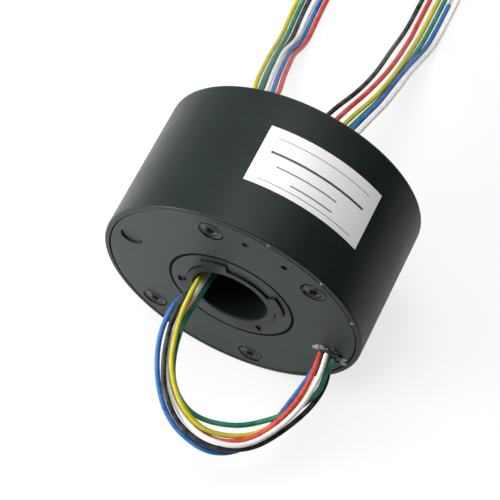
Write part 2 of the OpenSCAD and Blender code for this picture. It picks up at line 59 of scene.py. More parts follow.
Point = tuple[float, float, float]
Route = list[Vector]
Spot = tuple[float, float, float, float]


class Lead(Enum):
    """The six leads of each side, in the order in which the stator's lie side by side."""

    BLACK = 0
    RED = 1
    YELLOW = 2
    GREEN = 3
    BLUE = 4
    WHITE = 5

    @property
    def word(self) -> str:
        """The colour's plain name."""
        return self.name.lower()


class Marks(Enum):
    """The way in which a metal surface was worked."""

    TURNED = "turned"
    EXTRUDED = "extruded"
    PLAIN = "plain"


# ---------------------------------------------------------------- node helpers


def linear(hex_colour: str) -> tuple[float, float, float, float]:
    """Turns an sRGB hex colour to linear.

    Args:
        hex_colour: A colour such as "#26292a".

    Returns:
        Linear red, green, blue and an alpha of 1.
    """
    parts = [int(hex_colour[i : i + 2], 16) / 255 for i in (1, 3, 5)]
    r, g, b = (c / 12.92 if c <= 0.04045 else ((c + 0.055) / 1.055) ** 2.4 for c in parts)
    return (r, g, b, 1.0)


def add_node(tree: bpy.types.NodeTree, kind: str, settings: dict | None = None,
             **links: object) -> bpy.types.Node:
    """Adds one node to a tree.

    Args:
        tree: The node tree.
        kind: The node's Blender type.
        settings: Values for the node's properties and, under a socket's name or index, its inputs.
        **links: Output sockets or values, by the input's name in lower case with underscores, or i0, i1 for
            an index.

    Returns:
        The new node.
    """
    node = tree.nodes.new(kind)
    for key, value in (settings or {}).items():
        if isinstance(key, int) or (isinstance(key, str) and key in node.inputs and not hasattr(node, key)):
            node.inputs[key].default_value = value
        else:
            setattr(node, key, value)
    named = {socket.name.lower().replace(" ", "_"): socket for socket in reversed(node.inputs)}
    for key, value in links.items():
        target = node.inputs[int(key[1:])] if key[0] == "i" and key[1:].isdigit() else named[key]
        if isinstance(value, bpy.types.NodeSocket):
            tree.links.new(value, target)
        else:
            target.default_value = value
    return node


def bare_tree(owner: bpy.types.Material | bpy.types.World) -> bpy.types.NodeTree:
    """Gives a material or world an empty node tree and returns it."""
    owner.use_nodes = True
    owner.node_tree.nodes.clear()
    return owner.node_tree


@dataclass
class Shader:
    """A material under construction: its tree, its shader node and the surface's coordinates."""

    name: str

    def __post_init__(self) -> None:
        """Makes the empty material with its shader and coordinates."""
        self.material = bpy.data.materials.new(self.name)
        self.tree = bare_tree(self.material)
        self.surface = add_node(self.tree, "ShaderNodeBsdfPrincipled")
        output = add_node(self.tree, "ShaderNodeOutputMaterial")
        self.tree.links.new(self.surface.outputs["BSDF"], output.inputs["Surface"])
        self.place = add_node(self.tree, "ShaderNodeTexCoord").outputs["Object"]

    def add(self, kind: str, settings: dict | None = None, **links: object) -> bpy.types.Node:
        """Adds a node to this material's tree, as add_node does."""
        return add_node(self.tree, kind, settings, **links)

    def math(self, operation: str, *values: object) -> bpy.types.NodeSocket:
        """Adds one sum and returns its result."""
        links = {f"i{i}": value for i, value in enumerate(values)}
        return self.add("ShaderNodeMath", {"operation": operation}, **links).outputs[0]

    def cylinder_place(self) -> tuple[bpy.types.NodeSocket, bpy.types.NodeSocket, bpy.types.NodeSocket]:
        """Gives the place on a turned piece.

        Returns:
            Radius and depth along the bore in metres, and the angle round it in radians.
        """
        split = self.add("ShaderNodeSeparateXYZ", vector=self.place)
        x, y, z = (split.outputs[i] for i in range(3))
        square = self.math("ADD", self.math("MULTIPLY", x, x), self.math("MULTIPLY", z, z))
        return self.math("SQRT", square), y, self.math("ARCTAN2", z, x)

    def noise(self, grain_mm: float, vector: bpy.types.NodeSocket | None = None, detail: float = 2.0,
              roughness: float = 0.5) -> bpy.types.NodeSocket:
        """Adds a noise whose grain has a real size.

        Args:
            grain_mm: Width of one grain in millimetres.
            vector: Where to read it, or nothing for the surface's own place.
            detail: Octaves of finer grain.
            roughness: How strong the finer grain is.

        Returns:
            The noise from 0 to 1.
        """
        settings = {"Scale": 1 / (grain_mm * MM), "Detail": detail, "Roughness": roughness}
        return self.add("ShaderNodeTexNoise", settings, vector=vector or self.place).outputs["Fac"]

    def spread(self, value: bpy.types.NodeSocket, low: float, high: float, out_low: float,
               out_high: float) -> bpy.types.NodeSocket:
        """Maps a value from one range to another, and keeps it in the new range."""
        node = self.add("ShaderNodeMapRange", {}, i0=value, i1=low, i2=high, i3=out_low, i4=out_high)
        return node.outputs[0]

    def blend(self, share: object, first: object, second: object) -> bpy.types.NodeSocket:
        """Mixes two colours by a share and returns the result."""
        mix = self.add("ShaderNodeMix", {"data_type": "RGBA"})
        for index, value in ((0, share), (6, first), (7, second)):
            if isinstance(value, bpy.types.NodeSocket):
                self.tree.links.new(value, mix.inputs[index])
            else:
                mix.inputs[index].default_value = value
        return mix.outputs[2]

    def bump(self, height: bpy.types.NodeSocket, depth_mm: float, strength: float = 1.0,
             under: bpy.types.NodeSocket | None = None) -> bpy.types.NodeSocket:
        """Adds a bump of a real depth.

        Args:
            height: Height from 0 to 1.
            depth_mm: The depth that 0 to 1 stands for.
            strength: Share of the bump that shows.
            under: A normal that this bump lies on.

        Returns:
            The bumped normal.
        """
        links = {"height": height} | ({"normal": under} if under else {})
        settings = {"Strength": strength, "Distance": depth_mm * MM}
        return self.add("ShaderNodeBump", settings, **links).outputs[0]

    def rounded(self, radius_mm: float) -> bpy.types.NodeSocket:
        """Gives a normal that softens the piece's sharp edges, as tumbling and plating do."""
        return self.add("ShaderNodeBevel", {"samples": 4, "Radius": radius_mm * MM}).outputs[0]

    def wire(self, **values: object) -> None:
        """Sets or links the shader's own inputs, by their names in lower case with underscores."""
        named = {socket.name.lower().replace(" ", "_"): socket for socket in self.surface.inputs}
        for key, value in values.items():
            if isinstance(value, bpy.types.NodeSocket):
                self.tree.links.new(value, named[key])
            else:
                named[key].default_value = value


# ---------------------------------------------------------------- finishes


@dataclass(frozen=True)
class AnodisedAluminium:
    """Black anodised aluminium: a dyed oxide skin over bead-blasted or turned metal.

    The skin is a dielectric, so the highlight is pale and soft, and the dye leaves a faint green cast.
    """

    name: str
    colour: str
    sheen_colour: str
    roughness: float
    marks: Marks
    edge_mm: float = 0.25
    mark_mm: float = 0.35
    mark_depth_mm: float = 0.004
    gloss: float = 0.17

    def build(self) -> bpy.types.Material:
        """Builds the material."""
        s = Shader(self.name)
        radius, depth, angle = s.cylinder_place()
        cloud = s.noise(14, detail=4, roughness=0.6)
        grain = s.noise(0.16, detail=2)
        colour = s.blend(s.spread(cloud, 0.3, 0.7, 0, 1), linear(self.colour), linear(self.sheen_colour))
        height = grain
        if self.marks is not Marks.PLAIN:
            along = radius if self.marks is Marks.TURNED else depth
            turned = s.add("ShaderNodeCombineXYZ", {}, i0=along, i1=s.math("MULTIPLY", angle, 0.0004))
            lines = s.noise(self.mark_mm, turned.outputs[0], detail=3, roughness=0.7)
            height = s.math("ADD", s.math("MULTIPLY", lines, 0.7), s.math("MULTIPLY", grain, 0.3))
        rough = s.spread(cloud, 0.25, 0.75, self.roughness - 0.05, self.roughness + 0.06)
        s.wire(base_color=colour, roughness=rough, specular_ior_level=self.gloss,
               normal=s.bump(height, self.mark_depth_mm, 0.6, s.rounded(self.edge_mm)))
        return s.material


@dataclass(frozen=True)
class TurnedMetal:
    """Bare or plated metal straight off the lathe, ground or drawn, with fine rings round the bore."""

    name: str
    colour: str
    dull_colour: str
    roughness: float
    mark_mm: float = 0.2
    edge_mm: float = 0.15

    def build(self) -> bpy.types.Material:
        """Builds the material."""
        s = Shader(self.name)
        radius, depth, _ = s.cylinder_place()
        turned = s.add("ShaderNodeCombineXYZ", {}, i0=radius, i1=depth)
        lines = s.noise(self.mark_mm, turned.outputs[0], detail=3, roughness=0.7)
        stain = s.noise(5, detail=4, roughness=0.6)
        colour = s.blend(s.spread(stain, 0.35, 0.75, 0, 1), linear(self.colour), linear(self.dull_colour))
        rough = s.spread(stain, 0.3, 0.7, self.roughness - 0.04, self.roughness + 0.08)
        s.wire(base_color=colour, metallic=1.0, roughness=rough,
               normal=s.bump(lines, 0.003, 0.5, s.rounded(self.edge_mm)))
        return s.material


@dataclass(frozen=True)
class BlackOxideSteel:
    """Blackened screw steel: a dark crystalline skin with an oily shine and worn, greyer edges."""

    name: str
    colour: str
    worn_colour: str
    roughness: float

    def build(self) -> bpy.types.Material:
        """Builds the material."""
        s = Shader(self.name)
        speck = s.noise(0.35, detail=4, roughness=0.7)
        film = s.noise(1.6, detail=3)
        edge = s.rounded(0.2)
        facing = s.add("ShaderNodeNewGeometry").outputs["Normal"]
        meeting = s.add("ShaderNodeVectorMath", {"operation": "DOT_PRODUCT"}, i0=edge, i1=facing)
        worn = meeting.outputs["Value"]
        share = s.math("MULTIPLY", s.spread(worn, 0.80, 0.99, 1, 0), s.spread(speck, 0.35, 0.6, 0.2, 1))
        s.wire(base_color=s.blend(share, linear(self.colour), linear(self.worn_colour)), metallic=0.85,
               roughness=s.spread(film, 0.3, 0.7, self.roughness - 0.08, self.roughness + 0.12),
               normal=s.bump(speck, 0.012, 0.5, edge))
        return s.material


@dataclass(frozen=True)
class MouldedBoard:
    """Moulded phenolic or glass-epoxy board: matt, with a fleck or a weave under the resin."""

    name: str
    colour: str
    fleck_colour: str
    weave_mm: float
    roughness: float = 0.5

    def build(self) -> bpy.types.Material:
        """Builds the material."""
        s = Shader(self.name)
        split = s.add("ShaderNodeSeparateXYZ", vector=s.place)
        across = s.add("ShaderNodeTexWave", {"Scale": 1 / (self.weave_mm * MM * 6.28), "Distortion": 0.6},
                       vector=s.place).outputs["Fac"]
        along = s.math("SINE", s.math("MULTIPLY", split.outputs[1], 6.28 / (self.weave_mm * MM)))
        weave = s.math("MULTIPLY", across, s.spread(along, -1, 1, 0.2, 1))
        fleck = s.noise(0.6, detail=3)
        share = s.math("MULTIPLY", weave, s.spread(fleck, 0.3, 0.7, 0.3, 1))
        colour = s.blend(share, linear(self.colour), linear(self.fleck_colour))
        s.wire(base_color=colour, roughness=self.roughness, normal=s.bump(weave, 0.02, 0.4, s.rounded(0.2)))
        return s.material


@dataclass(frozen=True)
class CastResin:
    """Cured potting resin, glue or lacquer, and the matt black of painted shade: cloudy, with a wet-looking
    skin where it is glossy.

    The milk is the share of light that passes under the skin: some for resin and glue, none for black ones.
    """

    name: str
    colour: str
    cloud_colour: str
    roughness: float = 0.28
    milk: float = 0.15
    gloss: float = 0.5

    def build(self) -> bpy.types.Material:
        """Builds the material."""
        s = Shader(self.name)
        cloud = s.noise(1.2, detail=4, roughness=0.6)
        ripple = s.noise(0.5, detail=2)
        cloudy = s.spread(cloud, 0.35, 0.65, 0, 1)
        s.wire(base_color=s.blend(cloudy, linear(self.colour), linear(self.cloud_colour)),
               roughness=s.spread(cloud, 0.3, 0.7, self.roughness, self.roughness + 0.2),
               specular_ior_level=self.gloss, subsurface_weight=self.milk, subsurface_scale=0.8 * MM,
               normal=s.bump(ripple, 0.05, 0.6))
        return s.material


@dataclass(frozen=True)
class LeadInsulation:
    """Extruded PVC insulation: even colour, a soft shine, and faint drag lines along the lead."""

    name: str
    colour: str
    roughness: float = 0.34
    gloss: float = 0.16

    def build(self) -> bpy.types.Material:
        """Builds the material."""
        s = Shader(self.name)
        grain = s.noise(0.25, detail=3, roughness=0.6)
        scuff = s.noise(3.5, detail=4, roughness=0.65)
        base = linear(self.colour)
        pale = tuple(c + (1 - c) * 0.07 for c in base[:3]) + (1.0,)
        deep = tuple(c * 0.88 for c in base[:3]) + (1.0,)
        s.wire(base_color=s.blend(s.spread(scuff, 0.35, 0.7, 0, 1), deep, pale),
               roughness=s.spread(scuff, 0.3, 0.7, self.roughness - 0.05, self.roughness + 0.1),
               specular_ior_level=self.gloss, subsurface_weight=0.04, subsurface_scale=0.4 * MM,
               normal=s.bump(grain, 0.006, 0.5))
        return s.material


@dataclass(frozen=True)
class LabelFilm:
    """A matt white film label with plain printed rules where a label has its lines.

    Each rule is its left and right end, its place along the bore and its thickness, in millimetres.
    """

    name: str
    colour: str
    ink_colour: str
    middle_deg: float
    radius_mm: float
    rules: tuple[Spot, ...]

    def build(self) -> bpy.types.Material:
        """Builds the material."""
        s = Shader(self.name)
        _, depth, angle = s.cylinder_place()
        turn = s.math("SUBTRACT", angle, math.radians(self.middle_deg))
        across = s.math("MULTIPLY", turn, self.radius_mm * MM)
        fibre = s.noise(0.3, detail=3)
        ink: bpy.types.NodeSocket | None = None
        for left, right, height, thick in self.rules:
            middle, half = (left + right) / 2 * MM, (right - left) / 2 * MM
            in_length = s.math("LESS_THAN", s.math("ABSOLUTE", s.math("SUBTRACT", across, middle)), half)
            off = s.math("ABSOLUTE", s.math("SUBTRACT", depth, height * MM))
            rule = s.math("MULTIPLY", in_length, s.math("LESS_THAN", off, thick / 2 * MM))
            ink = rule if ink is None else s.math("MAXIMUM", ink, rule)
        worn = s.math("MULTIPLY", ink, s.spread(fibre, 0.3, 0.45, 0.7, 1))
        s.wire(base_color=s.blend(worn, linear(self.colour), linear(self.ink_colour)),
               roughness=s.spread(fibre, 0.3, 0.7, 0.42, 0.55), specular_ior_level=0.4,
               normal=s.bump(fibre, 0.004, 0.4))
        return s.material


BLACK_DRUM = AnodisedAluminium("black_anodised_drum", "#131b18", "#18211d", 0.40, Marks.EXTRUDED)
BLACK_COVER = AnodisedAluminium("black_anodised_cover", "#1e2723", "#242e29", 0.42, Marks.TURNED)
BLACK_ROTOR = AnodisedAluminium("black_anodised_rotor", "#111815", "#171e1b", 0.36, Marks.TURNED,
                                mark_mm=0.25, gloss=0.15)
BLACK_RING = AnodisedAluminium("black_anodised_end_ring", "#1c2521", "#222b27", 0.38, Marks.TURNED)
CLEAR_SLEEVE = TurnedMetal("turned_aluminium_sleeve", "#b9bcbe", "#9da0a2", 0.32)
TURNED_PILLAR = TurnedMetal("turned_aluminium_pillar", "#b4b7ba", "#989b9e", 0.35)
GROUND_STEEL = TurnedMetal("ground_bearing_steel", "#c2c4c6", "#a9abad", 0.18, mark_mm=0.1)
CAGE_BRASS = TurnedMetal("pressed_cage_brass", "#c9a24e", "#a98338", 0.3)
RING_GOLD = TurnedMetal("hard_gold_plate", "#dcb566", "#c79f52", 0.22, mark_mm=0.12)
WIRE_GOLD = TurnedMetal("gold_alloy_wire", "#e0bd74", "#cfa85c", 0.2, mark_mm=0.1)
TINNED_COPPER = TurnedMetal("tinned_copper_strand", "#c9cbcb", "#a7a5a0", 0.28, mark_mm=0.3, edge_mm=0.05)
BLACK_SCREW = BlackOxideSteel("black_oxide_screw", "#1f2223", "#555a5b", 0.34)
KEY_SCREW = BlackOxideSteel("zinc_key_screw", "#4a4d4e", "#8c8f90", 0.3)
PHENOLIC = MouldedBoard("moulded_phenolic", "#6d2b20", "#84392b", 0.8)
GLASS_EPOXY = MouldedBoard("glass_epoxy_board", "#2c5240", "#4a7359", 0.6)
POTTING = CastResin("cured_potting", "#8d928e", "#b9bdb8")
GLUE = CastResin("pale_glue", "#4d544f", "#868d87", 0.3)
LACQUER = CastResin("black_lacquer", "#070a09", "#141a18", 0.08, milk=0.0, gloss=0.3)
# Painted shade: a matt, almost unreflecting black for the gap round the end ring and the screw heads'
# recesses
PAINTED_GAP_SHADE = CastResin("dark_joint_grease", "#050606", "#0b0d0c", 0.6, milk=0.0, gloss=0.02)
LEAD_FINISHES = {
    Lead.BLACK: LeadInsulation("black_insulation", "#060908"),
    Lead.RED: LeadInsulation("red_insulation", "#c5301f"),
    Lead.YELLOW: LeadInsulation("yellow_insulation", "#bab00a"),
    Lead.GREEN: LeadInsulation("green_insulation", "#057255"),
    Lead.BLUE: LeadInsulation("blue_insulation", "#0a5c9c"),
    Lead.WHITE: LeadInsulation("white_insulation", "#e2e1dc"),
}
LABEL_FILM = LabelFilm(
    "white_label_film", "#e8e8e6", "#303234", 67.25, 49.5,
    (
        (-18.5, 19.0, 31.2, 0.9),
        (-8.5, 15.0, 26.6, 0.45),
        (-8.5, 8.0, 22.4, 0.45),
        (-18.5, 19.0, 37.0, 0.25),
        (-18.5, 19.0, 20.0, 0.25),
    ),
)


def dress(piece: bpy.types.Object, material: bpy.types.Material) -> None:
    """Gives every material slot of a piece one material.

    Args:
        piece: The piece.
        material: Its finish.
    """
    if not piece.material_slots:
        piece.data.materials.append(material)
    for place in piece.material_slots:
        place.material = material


def mesh_piece(name: str, shape: bmesh.types.BMesh, material: bpy.types.Material) -> bpy.types.Object:
    """Makes an object of a mesh, smooth-shaded and dressed.

    Args:
        name: The piece's name.
        shape: Its mesh, which is freed.
        material: Its finish.

    Returns:
        The object, linked to the scene.
    """
    mesh = bpy.data.meshes.new(name)
    bmesh.ops.recalc_face_normals(shape, faces=shape.faces)
    shape.to_mesh(mesh)
    shape.free()
    mesh.shade_smooth()
    piece = bpy.data.objects.new(name, mesh)
    bpy.context.collection.objects.link(piece)
    dress(piece, material)
    return piece


# ---------------------------------------------------------------- studio


@dataclass
class Studio:
    """Camera, pale floor, world, soft lamps and a dark card, placed in metres."""

    target: Vector = field(default_factory=lambda: Vector((0.0, 0.03, 0.0)))
    camera_place: Point = (0.1403, -0.2862, 0.6010)
    camera_right: Point = (0.90688, 0.42138, 0.0)
    camera_up: Point = (-0.36759, 0.79110, 0.48892)
    lens_mm: float = 140.4
    floor_z: float = -0.0495
    floor_drop: float = 0.0003
    card_place: Point = (0.2, 0.0, 0.25)
    card_turn_deg: float = -20.0

    def camera(self) -> bpy.types.Object:
        """Adds the camera."""
        data = bpy.data.cameras.new("camera")
        data.lens = self.lens_mm
        data.sensor_width = 36.0
        data.clip_start, data.clip_end = 0.05, 20.0
        camera = bpy.data.objects.new("camera", data)
        right, up = Vector(self.camera_right), Vector(self.camera_up)
        back = right.cross(up)
        turn = Matrix((right, up, back)).transposed().to_4x4()
        camera.matrix_world = Matrix.Translation(self.camera_place) @ turn
        bpy.context.collection.objects.link(camera)
        bpy.context.scene.camera = camera
        return camera

    def lamp(self, name: str, place: Point, size: float, power: float) -> bpy.types.Object:
        """Adds a square soft lamp that faces the object.

        Args:
            name: The lamp's name.
            place: Where it stands, in metres.
            size: Its side in metres.
            power: Its power in watts.

        Returns:
            The lamp.
        """
        data = bpy.data.lights.new(name, "AREA")
        data.shape, data.size, data.energy = "SQUARE", size, power
        lamp = bpy.data.objects.new(name, data)
        lamp.location = place
        lamp.rotation_euler = (self.target - Vector(place)).to_track_quat("-Z", "Y").to_euler()
        bpy.context.collection.objects.link(lamp)
        return lamp

    def world(self, fill: float = 0.25) -> None:
        """Makes the world white to the camera and in gloss, and dimmer as a light.

        Args:
            fill: Strength of the world as a light.
        """
        world = bpy.data.worlds.new("studio")
        tree = bare_tree(world)
        ray = add_node(tree, "ShaderNodeLightPath")
        seen = ray.outputs["Is Camera Ray"]
        for kind in ("Is Glossy Ray", "Is Transmission Ray"):
            either = add_node(tree, "ShaderNodeMath", {"operation": "MAXIMUM"}, i0=seen, i1=ray.outputs[kind])
            seen = either.outputs[0]
        strength = add_node(tree, "ShaderNodeMapRange", {}, i0=seen, i3=fill, i4=1.0)
        light = add_node(tree, "ShaderNodeBackground", {"Color": (1, 1, 1, 1)}, strength=strength.outputs[0])
        add_node(tree, "ShaderNodeOutputWorld", {}, surface=light.outputs[0])
        bpy.context.scene.world = world

    def floor(self, shown_white: float = 0.75) -> bpy.types.Object:
        """Lays a pale floor that shows white and keeps the shadow.

        Args:
            shown_white: Share of plain white that the camera sees over the lit floor.

        Returns:
            The floor.
        """
        shape = bmesh.new()
        bmesh.ops.create_grid(shape, x_segments=2, y_segments=2, size=3.0)
        material = bpy.data.materials.new("pale_floor")
        tree = bare_tree(material)
        ray = add_node(tree, "ShaderNodeLightPath")
        share = add_node(tree, "ShaderNodeMath", {"operation": "MULTIPLY"}, i0=ray.outputs["Is Camera Ray"],
                         i1=shown_white)
        lit = add_node(tree, "ShaderNodeBsdfDiffuse", {"Color": linear("#f4f4f4")})
        white = add_node(tree, "ShaderNodeEmission", {"Color": (1, 1, 1, 1), "Strength": 1.0})
        mixed = add_node(tree, "ShaderNodeMixShader", {}, i0=share.outputs[0], i1=lit.outputs[0],
                         i2=white.outputs[0])
        add_node(tree, "ShaderNodeOutputMaterial", {}, surface=mixed.outputs[0])
        floor = mesh_piece("floor", shape, material)
        floor.location.z = self.floor_z - self.floor_drop
        return floor

    def dark_card(self) -> bpy.types.Object:
        """Stands a black card at the right of the object, out of the camera's sight, to keep that side dark.

        Returns:
            The card.
        """
        shape = bmesh.new()
        bmesh.ops.create_grid(shape, x_segments=1, y_segments=1, size=0.3)
        material = bpy.data.materials.new("black_card")
        tree = bare_tree(material)
        black = add_node(tree, "ShaderNodeBsdfDiffuse", {"Color": linear("#050505")})
        add_node(tree, "ShaderNodeOutputMaterial", {}, surface=black.outputs[0])
        card = mesh_piece("black_card", shape, material)
        card.location = self.card_place
        card.rotation_euler = (0.0, math.pi / 2, math.radians(self.card_turn_deg))
        card.visible_camera = False
        return card

    def build(self) -> None:
        """Sets up the whole studio."""
        self.camera()
        self.world()
        self.floor()
        self.lamp("key", (-0.4, -0.26, 0.2), 0.3, 3.9)
        self.lamp("top", (-0.15, 0.1, 1.1), 0.7, 10.5)
        self.lamp("back", (-0.1, 1.0, 0.7), 0.6, 1.6)
        bpy.context.scene.view_settings.view_transform = "Standard"
        self.dark_card()
        LOG.info("studio ready")


# ---------------------------------------------------------------- leads

# Each stator lead from its outlet, round the open loop and along the bore, in millimetres
LOOPS: dict[Lead, list[Point]] = {
    Lead.BLACK: [
        (39, 1.5, -17), (39, -2, -17), (40.5, -8, -21), (39, -16, -24), (36, -24, -24.5), (32, -32, -24.5),
        (27.5, -38.5, -24.5), (22, -43, -23.5), (16.5, -45.5, -22.5), (10.5, -46.5, -21), (4, -45.5, -19),
        (-2.5, -42.5, -16.5), (-8.5, -36.5, -13), (-12, -30, -10.5), (-14, -23.5, -7), (-15.2, -15.5, -3.2),
        (-15.2, -8, -0.7), (-12.9, -0.5, -1), (-12.4, 10, -3.3), (-11.6, 18, -5.4), (-11.7, 27, -5.4),
        (-11, 36, -6.5), (-9.5, 46, -8.5), (-8, 56, -10), (-6.5, 64, -11), (-5, 72, -11.5),
    ],
    Lead.RED: [
        (35, 1.5, -14), (35, -2, -14), (35.5, -8.5, -16), (35, -15.5, -17.5), (33.5, -22.5, -19),
        (30, -31, -20.5),
        (25, -38, -21.5), (19, -42, -21.5), (12, -43.5, -21.5), (4, -42, -21), (-3, -38, -19),
        (-8, -32, -16.5),
        (-11.5, -24, -13), (-12.5, -14, -8.5), (-12.3, -5.5, -7.9), (-11.4, -0.5, -5.1), (-10.1, 10, -6.9),
        (-8.9, 18, -9.3), (-9.4, 22.5, -8.9), (-9.9, 27, -8.3), (-9.5, 36, -8.5), (-7.5, 46, -10),
        (-5.5, 56, -11.5), (-4, 64, -12), (-2.5, 72, -12),
    ],
    Lead.YELLOW: [
        (37.5, 1.5, -14.5), (37.5, -2, -14.5), (37.5, -7.5, -18), (36.5, -13.5, -20.5), (33.5, -21, -21.5),
        (30.5, -28, -23), (26, -34.5, -23), (20, -39, -22), (12.5, -42, -20), (6.5, -42, -18),
        (-0.5, -39, -15.5),
        (-5.5, -34.5, -13), (-10, -28, -10), (-12, -21, -6.5), (-13.2, -14, -3.4), (-13, -8, 0),
        (-12.4, -0.5, 2.5), (-12.5, 10, 0), (-12.2, 18, -2.5), (-10.5, 22.5, -3.7), (-8.3, 27, -6.2),
        (-7, 36, -9.5), (-5.5, 46, -11.5), (-3, 56, -12.5), (-1.5, 64, -12.5), (0, 72, -12),
    ],
    Lead.GREEN: [
        (40, 1.5, -14), (40, -2, -14), (39.5, -7, -17), (39.5, -12, -20), (36, -18, -23), (31.5, -23.5, -24),
        (25.5, -29, -24.5), (19.5, -34, -23.5), (13, -37, -22), (7.5, -38.5, -20.5), (2, -38.5, -18.5),
        (-4, -35.5, -16), (-8.5, -30, -13.5), (-11, -22.5, -10), (-12, -13.5, -6), (-11.4, -6, -6),
        (-10, -0.5, -2.1), (-9.7, 10, -3.4), (-8.9, 18, -5.3), (-6.3, 22.5, -6.3), (-5, 27, -7.8),
        (-4.5, 36, -9.5), (-3, 46, -12), (-0.5, 56, -12.5), (1, 64, -12.5), (2.5, 72, -12),
    ],
    Lead.BLUE: [
        (35.5, 1.5, -16.5), (35.5, -2, -16.5), (34.5, -7, -18.5), (33, -12.5, -21.5), (31, -19, -24.5),
        (29, -26.5, -27), (26.5, -34, -28), (22.5, -41, -27), (17.5, -45.5, -25.5), (11.5, -47.5, -24),
        (5.5, -47, -22), (-0.5, -45.5, -19.5), (-6.5, -41.5, -16.5), (-11, -36, -14), (-14.5, -30, -10),
        (-17, -22.5, -6.5), (-17.5, -15.5, -3.5), (-17, -9, -2.5), (-14.8, -4.5, -3), (-12.5, -0.5, -3),
        (-11.6, 10, -5.2), (-10.3, 18, -7.2), (-8.6, 22.5, -6.5), (-6.6, 27, -9), (-4, 36, -12),
        (-0.5, 46, -12.5),
        (2, 56, -12.5), (3.5, 64, -12), (5, 72, -12),
    ],
    Lead.WHITE: [
        (37.5, 1.5, -12), (37.5, -2, -12), (38, -7.5, -15.5), (37.5, -14.5, -17), (36, -22.5, -18.5),
        (32, -31.5, -20), (26.5, -39.5, -20.5), (19.5, -44, -20), (11, -45, -19), (3.5, -43, -18.5),
        (-4, -38.5, -16.5), (-9.5, -32.5, -14.5), (-13, -24.5, -11), (-14, -14.5, -7), (-13.4, -7, -3.4),
        (-12, -4, -2.3), (-11.2, -0.5, 0.5), (-11.2, 10, -1.6), (-10.4, 18, -3.7), (-7.6, 22.5, -4),
        (-3.6, 27, -6), (-1, 36.5, -11.5), (2, 46, -12.5), (4.5, 56, -12), (6, 64, -11), (7.5, 72, -11.5),
    ],
}
# Past the drum they lie side by side, green tucked under: y, z, drop of the green, then x of each lead
TAIL: list[tuple[float, ...]] = [
    (82, -12, 1.6, -4.4, -1, 2.6, 4.6, 6.6, 9.4), (91, -13, 1.9, -2.7, 1.3, 5, 6.9, 8.8, 11.5),
    (99, -14.5, 2, -0.3, 3.3, 7, 8.7, 10.4, 13), (107, -17, 2.1, 2, 5.2, 9, 10.4, 11.8, 14.4),
    (118, -21, 2.3, 3.7, 6.9, 10.2, 11.3, 12.4, 15), (130, -27, 2.4, 3.7, 7.4, 10.4, 11.5, 12.6, 15),
    (142, -35, 1.6, 2.6, 6.6, 9.4, 11, 12.6, 15), (151, -41.5, 0.6, 1.8, 5.6, 8.6, 10.6, 12.6, 15),
    (160, -46.5, 0, 1.5, 5, 8, 10.3, 12.6, 15), (169, -48.3, 0, 1.5, 4.5, 7.7, 10.1, 12.5, 15),
    (182, -48.3, 0, 1.5, 4.5, 7.7, 10.1, 12.5, 15), (194, -48.3, 0, 1.5, 4.5, 7.7, 10.1, 12.5, 15),
    (206, -48.3, 0, 1.5, 4.5, 7.7, 10.1, 12.5, 15),
]
# The rotor leads leave the collar in an arc and turn level as they fall: y, then x and z of each lane
FAN_DROP: list[tuple[float, list[tuple[float, float]]]] = [
    (70, [(-25.4, -3.2), (-25.6, -1), (-25.2, 1.1), (-24.6, 3.2), (-23.8, 5.2), (-22.8, 7)]),
    (78, [(-28, -3.4), (-26.5, -1.6), (-24.2, -1.3), (-23.8, 1.1), (-22.1, 2.9), (-20.5, 4.7)]),
    (86, [(-30.4, -3.2), (-28.1, -3.4), (-26.8, -6), (-25.6, -3.6), (-23.2, -3.4), (-20.8, -3.2)]),
]
# Then they hang side by side, black tucked under: y, z, drop of the black, then x of each lane
FAN: list[tuple[float, ...]] = [
    (99, -12.6, 2.5, -33.6, -31.4, -30.2, -29.1, -26.9, -24.7),
    (112, -22.4, 2.5, -36.6, -34.4, -33.3, -32.2, -30, -27.8),
    (123, -32, 2.4, -39.2, -37.1, -36, -34.9, -32.8, -30.7),
    (133, -40.5, 1.3, -41.4, -39.3, -37.5, -35.7, -33.6, -31.5),
    (142, -46.5, 0.2, -43.2, -41, -38.8, -36.7, -34.6, -32.5),
    (151, -48.3, 0, -44.5, -42.3, -40.1, -37.9, -35.7, -33.5),
    (163, -48.3, 0, -45, -42.8, -40.6, -38.4, -36.2, -34),
    (175, -48.3, 0, -45, -42.8, -40.6, -38.4, -36.2, -34),
]
FAN_PLACES = {Lead.BLACK: 2, Lead.RED: 5, Lead.YELLOW: 0, Lead.GREEN: 1, Lead.BLUE: 4, Lead.WHITE: 3}


def smooth(points: Route, steps: int) -> Route:
    """Draws a smooth curve through points.

    Args:
        points: The points in order.
        steps: Steps between each two.

    Returns:
        The curve's points.
    """
    last = len(points) - 1
    curve: Route = []
    for i in range(last):
        a, b, c, d = points[max(i - 1, 0)], points[i], points[i + 1], points[min(i + 2, last)]
        for k in range(steps):
            t = k / steps
            curve.append(0.5 * (2 * b + (c - a) * t + (2 * a - 5 * b + 4 * c - d) * t * t
                                + (3 * b - a - 3 * c + d) * t ** 3))
    return curve + [points[last]]


def relax(points: Route, passes: int) -> Route:
    """Eases the small waves out of a curve, as a lead's own stiffness does.

    Args:
        points: The curve.
        passes: How often each point moves towards its neighbours.

    Returns:
        The eased curve, with its ends where they were.
    """
    for _ in range(passes):
        inner = [(a + 2 * b + c) / 4 for a, b, c in zip(points, points[1:], points[2:])]
        points = [points[0], *inner, points[-1]]
    return points


def cut_to(points: Route, length: float) -> Route:
    """Cuts a curve to a length.

    Args:
        points: The curve.
        length: Its new length in metres.

    Returns:
        The first part of the curve, of that length.
    """
    kept, run = [points[0]], 0.0
    for before, after in zip(points, points[1:]):
        step = (after - before).length
        if run + step >= length:
            return kept + [before + (after - before) * ((length - run) / step)]
        run += step
        kept.append(after)
    return kept


